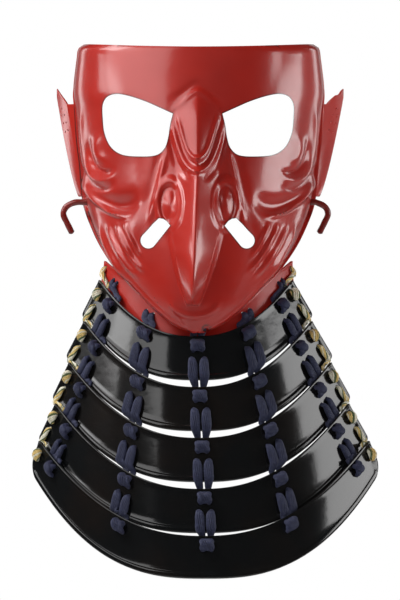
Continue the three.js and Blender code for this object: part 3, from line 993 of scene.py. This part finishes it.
def spin_yarns(piece, yarns, radius, twist, material):
    """Runs the braided cord's nodes on a piece and keeps the plain mesh."""
    tree = bpy.data.node_groups.get("braided_cord") or yarn_tree()
    modifier = piece.modifiers.new("yarns", "NODES")
    modifier.node_group = tree
    chosen = {"Yarns": yarns, "Yarn Radius": radius, "Twist": twist, "Sides": 6, "Finish": material}
    for item in tree.interface.items_tree:
        if item.in_out == "INPUT" and item.name in chosen:
            modifier[item.identifier] = chosen[item.name]
    settle(piece)
    if len(piece.data.polygons) < 100:
        raise RuntimeError(f"{piece.name} has no yarns")


def joined_edges(name, meshes):
    """Several cords' middle lines as one mesh, with their attributes."""
    made = bmesh.new()
    for data in meshes:
        made.from_mesh(data)
    total = bpy.data.meshes.new(name)
    made.to_mesh(total)
    made.free()
    for data in meshes:
        bpy.data.meshes.remove(data)
    return total


def throat_keys(where, hang, behind, size):
    """A cord's start: from behind the throat plate through its hole and down its front."""
    place = THROAT.place_up
    u = where(0)
    near = hang * KNOT_SHARE
    return [
        (place(u, near, THROAT_ROW - 7, -behind - 0.5), 1.3 * size, 0.8),
        (place(u, near, THROAT_ROW - 1, -behind), 1.1 * size, 0.8),
        (place(u, near, THROAT_ROW + 0.2, 0.0), 1.2 * size, 0.9),
        (place(u, near * 0.8, THROAT_ROW - 1.4, behind + 0.3), 2.1 * size, 1.2),
        (place(u, near * 0.8, THROAT_ROW - 5, behind + 0.6), 2.6 * size, 1.4),
    ]


def navy_keys(where, spread, side, behind):
    """One cord of a pair: it crosses its twin on the front of each lame, goes behind, and comes out lower
    down to hang as a spindle to the next."""
    hang = side * spread
    size = spread / 4
    keys = throat_keys(where, hang, behind, size)
    for k in range(1, LAMES + 1):
        band, u = BANDS[k], where(k)
        leave = hang if k % 2 == 0 else -hang
        enter = -leave * KNOT_SHARE
        over = 1.7 if enter < 0 else 0.2
        place = band.place
        keys += [
            (place(u, enter, -1.2, -behind - 0.9), 2.2 * size, 1.1),
            (place(u, enter, ROW_IN - 0.7, -behind + 0.2), 1.4, 0.9),
            (place(u, enter, ROW_IN, 0.0), 1.35, 1.25),
            (place(u, enter * 0.8, ROW_IN + 0.9, behind + 0.9), 2.9 * size, 1.7),
            (place(u, enter * 0.36, ROW_IN + 2.3, behind + 0.9 + over), 3.7 * size, 1.9),
            (place(u, -enter * 0.36, ROW_OUT - 2.3, behind + 0.9 + over), 3.7 * size, 1.9),
            (place(u, -enter * 0.8, ROW_OUT - 0.9, behind + 0.9), 2.9 * size, 1.7),
            (place(u, -enter, ROW_OUT, 0.0), 1.35, 1.25),
        ]
        if k == LAMES:
            keys += [
                (place(u, -enter, ROW_OUT + 1.5, -behind), 1.4, 0.8),
                (place(u, -enter * 0.8, ROW_OUT + 7, -behind - 0.3), 1.8, 0.9),
            ]
            break
        keys += [
            (place(u, leave, (ROW_OUT + ROW_DROP) / 2, -behind), 1.7 * size, 0.75),
            (place(u, leave, ROW_DROP, 0.0), 1.35, 1.25),
            (place(u, leave * 0.94, ROW_DROP + 1.2, behind + 0.7), 2.3 * size, 1.4),
            (place(u, leave * 0.84, ROW_DROP + 4.2, behind + 1.2), 3.1 * size, 1.8),
            (place(u, leave * 0.8, ROW_DROP + 8.5, behind + 1.4), 3.3 * size, 1.9),
            (place(u, leave * 0.8, 27.3, behind + 1.3), 3.2 * size, 1.5),
        ]
    return keys


def edge_keys(where, behind):
    """The edge cord: a short fat stitch in each lame and a thin run to the next."""
    keys = throat_keys(where, 0, behind, 0.8)
    for k in range(1, LAMES + 1):
        place, u = BANDS[k].place, where(k)
        keys += [
            (place(u, 0, -0.8, -behind - 0.5), 1.3, 0.8),
            (place(u, 0, EDGE_ROW_IN - 0.8, -behind + 0.2), 1.1, 0.8),
            (place(u, 0, EDGE_ROW_IN - 0.6, 0.0), 1.1, 0.9),
            (place(u, 0, EDGE_ROW_IN - 0.5, behind + 0.9), 2.9, 1.7),
            (place(u, 0, (EDGE_ROW_IN + ROW_OUT) / 2, behind + 1.6), 3.7, 2.2),
            (place(u, 0, ROW_OUT + 0.3, behind + 0.9), 2.9, 1.7),
            (place(u, 0, ROW_OUT + 0.4, 0.0), 1.1, 0.9),
        ]
        if k == LAMES:
            keys.append((place(u, 0, ROW_OUT + 5, -behind - 0.2), 1.3, 0.8))
            break
        keys += [
            (place(u, 0, (ROW_OUT + ROW_DROP) / 2, -behind), 1.3, 0.75),
            (place(u, 0, ROW_DROP, 0.0), 1.0, 0.9),
            (place(u, 0, ROW_DROP + 1.4, behind + 0.4), 1.7, 1.2),
            (place(u, 0, 20, behind + 0.7), 2.1, 1.4),
            (place(u, 0, 26, behind + 0.8), 2.0, 1.2),
        ]
    return keys


# ------------------------------------------------------------------------------------------
# Operators


class GUARD_OT_face_plate(bpy.types.Operator):
    """Makes the mask: a beaten iron face with a crow's beak, open eyes and open corners of the mouth"""

    bl_idname = "guard.face_plate"
    bl_label = "Face Plate"

    def execute(self, context):
        sizes = context.scene.guard_mask
        wall, lip = sizes.wall / MM, sizes.lip / MM
        levels = np.concatenate(
            [
                np.linspace(TOP, 86, 9),
                np.linspace(84.6, -59, 177),
                np.linspace(-59.4, -69, 24),
                np.linspace(-69.5, CHIN, 15),
            ]
        )
        half = np.linspace(0, 1, 166) ** 1.2
        across = np.concatenate([-half[::-1], half[1:]])
        z, u = np.meshgrid(levels, across, indexing="ij")
        outer = face_points(u, z, 0)
        inner = face_points(u, z, wall)
        lift = sizes.fold * folds_at(outer[..., 0], z)[..., None]
        normals = grid_normals(outer)
        outer = outer + normals * lift
        inner = inner + normals * lift
        lip_width = 0.5 + (lip - 0.5) * np.sqrt(bump(np.clip((levels - 5) / 70, -1, 1)))
        for share in (0.3, 0.65, 1.0):
            for edge, side in ((0, -1), (-1, 1)):
                source = face_points(np.full_like(levels, side), levels, 0)
                source[:, 0] += side * lip_width * share
                out, back = source.copy(), source.copy()
                out[:, 1] += 0.5 * share**2
                back[:, 1] += wall
                at = 0 if side < 0 else outer.shape[1]
                outer = np.insert(outer, at, out, axis=1)
                inner = np.insert(inner, at, back, axis=1)
        piece = add_piece("mask_face", shell("mask_face", outer, inner, 2))
        round_edges(piece, 0.35, 2, 55)
        for mirror in (1, -1):
            cut(piece, joined("eye", [prism(eye_outline() * [mirror, 1], *EYE_DEPTHS)]))
            cut(piece, joined("mouth", [prism(mouth_outline() * [mirror, 1], *MOUTH_DEPTHS)]))
        drills = [rod(*SWEAT_DRILL, SWEAT_RADIUS, 20)]
        for side in (-1, 1):
            drills.append(rod((side * 55, HOOK_DEPTH, 0), (side * 85, HOOK_DEPTH, 0), HOOK_HOLE, 24))
        for drill in drills:
            cut(piece, joined("drill", [drill]))
        # The sweat hole's rim is marked with the openings' cut edges, for the painted edge shade.
        turn = np.linspace(0, 2 * np.pi, 16, endpoint=False)
        hole = np.array(SWEAT_HOLE) + np.column_stack([np.cos(turn), np.sin(turn)]) * SWEAT_SHADE_RIM
        cuts = [made * (side, 1) for made in (eye_outline(), mouth_outline()) for side in (-1, 1)]
        mark_edges(piece, [*cuts, hole])
        finish_piece(piece, red_lacquer(), ["face_plate"], 38)
        return {"FINISHED"}


def mark_edges(piece, outlines):
    """Marks the points along the cut edges of the openings, where a dark shade is painted into the lacquer.
    """
    points = np.empty(3 * len(piece.data.vertices))
    piece.data.vertices.foreach_get("co", points)
    place = points.reshape(-1, 3)[:, [0, 2]] / MM
    gap = np.full(len(place), 9.0)
    for outline in outlines:
        for start, end in zip(outline, np.roll(outline, -1, axis=0)):
            run, away = end - start, place - start
            share = np.clip(away @ run / (run @ run), 0, 1)
            gap = np.minimum(gap, np.linalg.norm(away - share[:, None] * run, axis=-1))
    marks = np.clip(1.2 - gap / EDGE_SHADE_REACH, 0, 1)
    piece.data.attributes.new("bare_edge", "FLOAT", "POINT").data.foreach_set("value", marks)


def eye_outline():
    """A slanting eye with rounded outer corners and a sharp inner one."""
    points = [
        (16.2, 57.5), (25, 61.5), (34, 65.5), (45, 69.2), (53.5, 70.6), (59.5, 68.7), (62.4, 63.5),
        (62.4, 55), (61.2, 45), (57, 36), (49.5, 30.9), (38, 29.6), (27, 30.4), (21.5, 35), (19.2, 42),
        (18, 50), (16.2, 57.5),
    ]
    return spline(points, 8)[:-1]


def mouth_outline():
    """Straight sides, square at the nose and round at the cheek."""
    turn = np.radians(np.linspace(45, -135, 25))
    end = np.column_stack([32 + 5.2 * np.cos(turn), -25.3 + 5.2 * np.sin(turn)])
    start = [[17.7, -15.7], [20.2, -12.6], [22.4, -11.2], [25.2, -10.8], [29, -14.4], [33, -18.9]]
    return np.vstack([start, end])


def ear_lines(rise, fold_out, outer_out):
    """Where an ear plate's fold and outer edge are, out and back, at a share of its height."""
    x, y = EAR_FOLD_FOOT
    fold = np.stack([x + (fold_out - x) * rise, y + EAR_FOLD_BACK * rise], -1)
    x, y = EAR_EDGE_FOOT
    bowed = np.minimum(rise, 1.08) ** 0.75
    outer = np.stack([x + (outer_out - x) * bowed, y + EAR_EDGE_BACK * rise], -1)
    return fold, outer


def ear_grid(side, fold_out, outer_out, wall, step):
    """An ear plate: it starts behind the mask's edge, turns at a fold and rises to a point as it stands out;
    step is how deep a notch its upper edge has."""
    column, down = np.meshgrid(np.linspace(0, 1, 37), np.linspace(0, 1, 49))
    beyond = np.clip((column - 1 / 3) * 1.5, 0, 1)
    high = EAR_TOP + (EAR_POINT - EAR_TOP) * beyond**0.8
    high = high - step * bump((beyond - 0.68) / 0.2)
    z = high + (EAR_FOOT - high) * down
    rise = (z - EAR_FOOT) / (EAR_TOP - EAR_FOOT)
    front = np.stack([half_width(z) - 1.5, 2.55 + edge_depth(z)], -1)
    fold, outer = ear_lines(rise, fold_out, outer_out)
    first = front + (fold - front) * np.clip(column * 3, 0, 1)[..., None]
    flat = np.where((column <= 1 / 3)[..., None], first, fold + (outer - fold) * beyond[..., None])
    bulge = 0.7 * np.sin(np.pi * beyond) * (column > 1 / 3)
    face = np.dstack([flat[..., 0], flat[..., 1] - bulge, z])
    back = face + np.array([-0.6 * wall, 0.8 * wall, 0])
    return face * [side, 1, 1], back * [side, 1, 1]


class GUARD_OT_ear_plates(bpy.types.Operator):
    """Makes the two pointed ear plates with their listening holes"""

    bl_idname = "guard.ear_plates"
    bl_label = "Ear Plates"

    def execute(self, context):
        wall = context.scene.guard_mask.ear_wall / MM
        holes = [(48, 0.35), (53, 0.4), (58, 0.45), (47, 0.66), (52.5, 0.7), (57.5, 0.75), (62, 0.62)]
        ears = [("left", -1, 87, 93.4, 0), ("right", 1, 84.5, 94.6, 1.2)]
        for name, side, fold_out, outer_out, step in ears:
            face, back = ear_grid(side, fold_out, outer_out, wall, step)
            piece = add_piece(f"ear_{name}", shell(f"ear_{name}", face, back))
            round_edges(piece, 0.3, 2, 50)
            bars = []
            for level, share in holes:
                rise = (level - EAR_FOOT) / (EAR_TOP - EAR_FOOT)
                fold, outer = ear_lines(rise, fold_out, outer_out)
                x, y = fold + (outer - fold) * share
                ends = [(side * (x + 4.1), y - 4, level), (side * (x - 4.1), y + 4, level)]
                bars.append(rod(*ends, LISTENING_RADIUS, 10))
            cut(piece, joined("holes", bars))
            finish_piece(piece, red_lacquer(), [f"ear_plate_{name}"])
        return {"FINISHED"}


class GUARD_OT_cord_hooks(bpy.types.Operator):
    """Makes the two bent rods that hold the mask's cord"""

    bl_idname = "guard.cord_hooks"
    bl_label = "Cord Hooks"

    def execute(self, context):
        radius = context.scene.guard_mask.rod / MM
        for name, side, reach in (("left", -1, 1), ("right", 1, -3)):
            keys = [
                (68, 0.5), (75, 0.8), (80.5 + reach, 0.6), (86 + reach, -2.2), (88 + reach, -7),
                (85.5 + reach, -13), (82 + reach, -20),
            ]
            points = [(side * x, HOOK_DEPTH + min(i, 3) * 0.4, z - 0.6) for i, (x, z) in enumerate(keys)]
            rings = hook_rings(spline(points, 9), radius)
            piece = add_piece(f"hook_{name}", tube_mesh(f"hook_{name}", rings))
            finish_piece(piece, worn_red(), [f"cord_hook_{name}"], 60)
        return {"FINISHED"}


def hook_rings(line, radius):
    """Rings round a hook's middle line, which close in at its rounded ends."""
    heading = unit(np.gradient(line, axis=0))
    ends = np.array([0.0, 0.25, 0.7, 1.3, 2.0])
    round_end = np.sqrt(np.clip(1 - (1 - ends / 2) ** 2, 0, 1))
    before = line[0] + heading[0] * (ends[:-1, None] - 2)
    after = line[-1] + heading[-1] * (2 - ends[-2::-1, None])
    line = np.vstack([before, line, after])
    line[:5] += heading[0] * 2
    line[-5:] -= heading[-1] * 2
    run = np.concatenate([[0], np.cumsum(np.linalg.norm(np.diff(line, axis=0), axis=1))])
    grow = np.ones(len(line))
    near = np.minimum(np.arange(len(line)), np.arange(len(line))[::-1])
    grow[near < 5] = round_end[near[near < 5]]
    along = unit(np.gradient(line, axis=0) + 1e-9)
    first = unit(np.cross(along, [0, 1, 0]))[:, None]
    second = np.cross(along, first[:, 0])[:, None]
    turn = np.linspace(0, 2 * np.pi, 18, endpoint=False)[None, :, None]
    size = radius * grow * (1 + 0.03 * np.sin(run * 0.9))
    return line[:, None] + size[:, None, None] * (np.cos(turn) * first + np.sin(turn) * second)


def tube_mesh(name, rings):
    """A closed tube through rings of points."""
    count, sides = rings.shape[:2]
    number = np.arange(count * sides).reshape(count, sides)
    nxt = np.roll(number, -1, axis=1)
    quads = np.stack([number[:-1], nxt[:-1], nxt[1:], number[1:]], -1).reshape(-1, 4)
    faces = [*quads.tolist(), number[0][::-1].tolist(), number[-1].tolist()]
    return mesh_of(name, rings.reshape(-1, 3), faces)


class GUARD_OT_throat_plate(bpy.types.Operator):
    """Makes the red plate under the jaw that the lames hang from"""

    bl_idname = "guard.throat_plate"
    bl_label = "Throat Plate"

    def execute(self, context):
        sizes = context.scene.guard_throat
        outer, inner = band_grid(THROAT, 1.5, 0.25, 2.0, sizes.wall / MM, 90)
        piece = add_piece("throat_band", shell("throat_band", outer, inner))
        round_edges(piece, 0.4, 2, 50)
        cut(piece, lacing_holes(THROAT, 0, sizes.hole / MM))
        finish_piece(piece, rubbed_red(), ["throat_plate"])
        return {"FINISHED"}


class GUARD_OT_lames(bpy.types.Operator):
    """Makes the five black lames of the throat guard, each with a raised rim and its lacing holes"""

    bl_idname = "guard.lames"
    bl_label = "Lames"

    def execute(self, context):
        sizes = context.scene.guard_throat
        for k in range(1, LAMES + 1):
            corner = 9 if k == LAMES else 2.4
            grids = band_grid(BANDS[k], corner, sizes.bead / MM, sizes.bead_width / MM, sizes.wall / MM, 130)
            piece = add_piece(f"lame_plate_{k}", shell(f"lame_plate_{k}", *grids))
            round_edges(piece, 0.5, 3, 50)
            cut(piece, lacing_holes(BANDS[k], k, sizes.hole / MM))
            finish_piece(piece, black_lacquer(), [f"lame_{k}"])
        return {"FINISHED"}


class GUARD_OT_navy_lacing(bpy.types.Operator):
    """Makes the five columns of navy lacing: paired cords that cross as a knot on each lame"""

    bl_idname = "guard.navy_lacing"
    bl_label = "Navy Lacing"

    def execute(self, context):
        sizes = context.scene.guard_throat
        behind = sizes.wall / MM / 2 + CORD_LIFT
        for name, where, spread in COLUMNS:
            aside = BANDS[MIDDLE_LAME].aside(where(MIDDLE_LAME))
            cords = [cord_mesh(name, navy_keys(where, spread, side, behind), aside) for side in (-1, 1)]
            piece = add_piece("silk_" + name, joined_edges(name, cords))
            spin_yarns(piece, sizes.yarns, sizes.yarn, NAVY_TWIST, navy_silk())
            finish_piece(piece, navy_silk(), [name], 180)
        return {"FINISHED"}


class GUARD_OT_edge_lacing(bpy.types.Operator):
    """Makes the two columns of gold, cream and green lacing at the ends of the lames"""

    bl_idname = "guard.edge_lacing"
    bl_label = "Edge Lacing"

    def execute(self, context):
        sizes = context.scene.guard_throat
        behind = sizes.wall / MM / 2 + CORD_LIFT
        for name, where in EDGES:
            aside = BANDS[MIDDLE_LAME].aside(where(MIDDLE_LAME))
            piece = add_piece("silk_" + name, cord_mesh(name, edge_keys(where, behind), aside))
            spin_yarns(piece, sizes.edge_yarns, sizes.edge_yarn, EDGE_TWIST, edge_silk())
            finish_piece(piece, edge_silk(), [name], 180)
        return {"FINISHED"}


# A softbox: its azimuth and height as seen from the guard (0 is the camera's side, negative to the left, in
# degrees and metres), its distance, width, height, share of the full glow, and whether it lights, shines or
# both.
SOFTBOXES = [
    ("left_strip", -80, 0.21, 0.90, 0.44, 0.13, 1.2, "both"),
    ("left_high", -88, 0.80, 0.85, 0.50, 0.45, 1.5, "both"),
    ("left_wash", -72, 1.00, 0.90, 0.70, 0.70, 2.3, "lights"),
    ("front_wash", 10, 0.60, 1.20, 0.80, 0.80, 0.22, "lights"),
    ("left_front_card", -54, 0.45, 0.75, 0.90, 0.60, 0.78, "shines"),
    ("low_wash", -20, -0.15, 1.20, 0.80, 0.50, 0.40, "lights"),
    ("right_strip", 84, 0.07, 0.90, 0.50, 0.40, 1.5, "both"),
    ("right_card", 66, 0.37, 0.90, 0.16, 0.16, 1.5, "shines"),
    ("back_left", -134, 0.15, 1.40, 0.26, 1.00, 0.6, "both"),
    ("back_right", 134, 0.15, 1.40, 0.26, 1.00, 0.6, "both"),
]


class GUARD_OT_studio(bpy.types.Operator):
    """Makes the pale floor, the softboxes, the white surround and the camera"""

    bl_idname = "guard.studio"
    bl_label = "Studio"

    def execute(self, context):
        scene, studio = context.scene, context.scene.guard_studio
        scene.view_settings.view_transform = "Standard"
        floor = bmesh.new()
        bmesh.ops.create_circle(floor, cap_ends=True, segments=96, radius=FLOOR_RADIUS)
        bmesh.ops.translate(floor, verts=floor.verts, vec=(0, 0, studio.floor))
        data = bpy.data.meshes.new("floor")
        floor.to_mesh(data)
        floor.free()
        piece = add_piece("floor", data)
        paint = Paint("pale_floor")
        tone = paint.mix(paint.step(paint.noise(3, 3), 0.3, 0.7), *FLOOR_TONES)
        data.materials.append(paint.finish(Base_Color=tone, Roughness=0.7))
        for name, azimuth, high, distance, wide, tall, share, use in SOFTBOXES:
            turn = math.radians(azimuth)
            area = bpy.data.lights.new(name, "AREA")
            area.shape = "RECTANGLE"
            area.size, area.size_y = wide, tall
            area.energy = math.pi * wide * tall * studio.glow * share
            light = bpy.data.objects.new(name, area)
            scene.collection.objects.link(light)
            light.location = (math.sin(turn) * distance, -math.cos(turn) * distance, high)
            aim = np.array(LIGHT_TARGET) - np.array(light.location)
            light.rotation_euler = direction_turn(aim)
            light.visible_camera = False
            light.visible_diffuse = use != "shines"
            light.visible_glossy = use != "lights"
        surround(scene)
        camera = bpy.data.objects.new("camera", bpy.data.cameras.new("camera"))
        scene.collection.objects.link(camera)
        back = np.array([math.sin(studio.turn), -math.cos(studio.turn), 0.0])
        camera.location = np.array(VIEW_TARGET) + back * studio.distance
        camera.rotation_euler = direction_turn(-back)
        camera.data.sensor_width = SENSOR
        camera.data.lens = SENSOR * studio.distance / studio.height
        camera.data.clip_end = 100
        scene.camera = camera
        return {"FINISHED"}


def direction_turn(direction):
    """The rotation that points a light or camera along a direction."""
    x, y, z = (float(v) for v in direction)
    return (math.atan2(math.hypot(x, y), -z), 0.0, math.atan2(-x, y))


def surround(scene):
    """A surround that is pale behind the guard and dim elsewhere; the camera itself sees it white."""
    world = bpy.data.worlds.new("surround")
    scene.world = world
    world.use_nodes = True
    nodes, links = world.node_tree.nodes, world.node_tree.links
    glow = nodes["Background"]
    place = nodes.new("ShaderNodeTexCoord")
    split = nodes.new("ShaderNodeSeparateXYZ")
    links.new(place.outputs["Generated"], split.inputs[0])
    ramp = nodes.new("ShaderNodeMapRange")
    for key, value in {"From Min": 0.9, "From Max": 1.0, "To Min": 0.04, "To Max": 0.6}.items():
        ramp.inputs[key].default_value = value
    links.new(split.outputs["Y"], ramp.inputs["Value"])
    sees = nodes.new("ShaderNodeLightPath")
    choose = nodes.new("ShaderNodeMix")
    choose.inputs[3].default_value = 1.0
    links.new(sees.outputs["Is Camera Ray"], choose.inputs[0])
    links.new(ramp.outputs[0], choose.inputs[2])
    links.new(choose.outputs[0], glow.inputs["Strength"])
    glow.inputs["Color"].default_value = (1, 1, 1, 1)


class GUARD_PT_panel(bpy.types.Panel):
    """Lists the guard's pieces, sizes and colours"""

    bl_label = "Face Guard"
    bl_idname = "GUARD_PT_panel"
    bl_space_type = "VIEW_3D"
    bl_region_type = "UI"
    bl_category = "Face Guard"

    def draw(self, context):
        for name, group in SETTINGS.items():
            box = self.layout.box()
            for key in group.__annotations__:
                box.prop(getattr(context.scene, name), key)
        for operator in OPERATORS:
            self.layout.operator(operator.bl_idname)


OPERATORS = [
    GUARD_OT_studio,
    GUARD_OT_face_plate,
    GUARD_OT_ear_plates,
    GUARD_OT_cord_hooks,
    GUARD_OT_throat_plate,
    GUARD_OT_lames,
    GUARD_OT_navy_lacing,
    GUARD_OT_edge_lacing,
]


def register():
    for group in (*SETTINGS.values(), *OPERATORS, GUARD_PT_panel):
        bpy.utils.register_class(group)
    for name, group in SETTINGS.items():
        setattr(bpy.types.Scene, name, bpy.props.PointerProperty(type=group))


def unregister():
    for name in SETTINGS:
        delattr(bpy.types.Scene, name)
    for group in (GUARD_PT_panel, *reversed(OPERATORS), *SETTINGS.values()):
        bpy.utils.unregister_class(group)


def main():
    register()
    for operator in OPERATORS:
        family, action = operator.bl_idname.split(".")
        getattr(getattr(bpy.ops, family), action)()


if __name__ == "__main__":
    main()
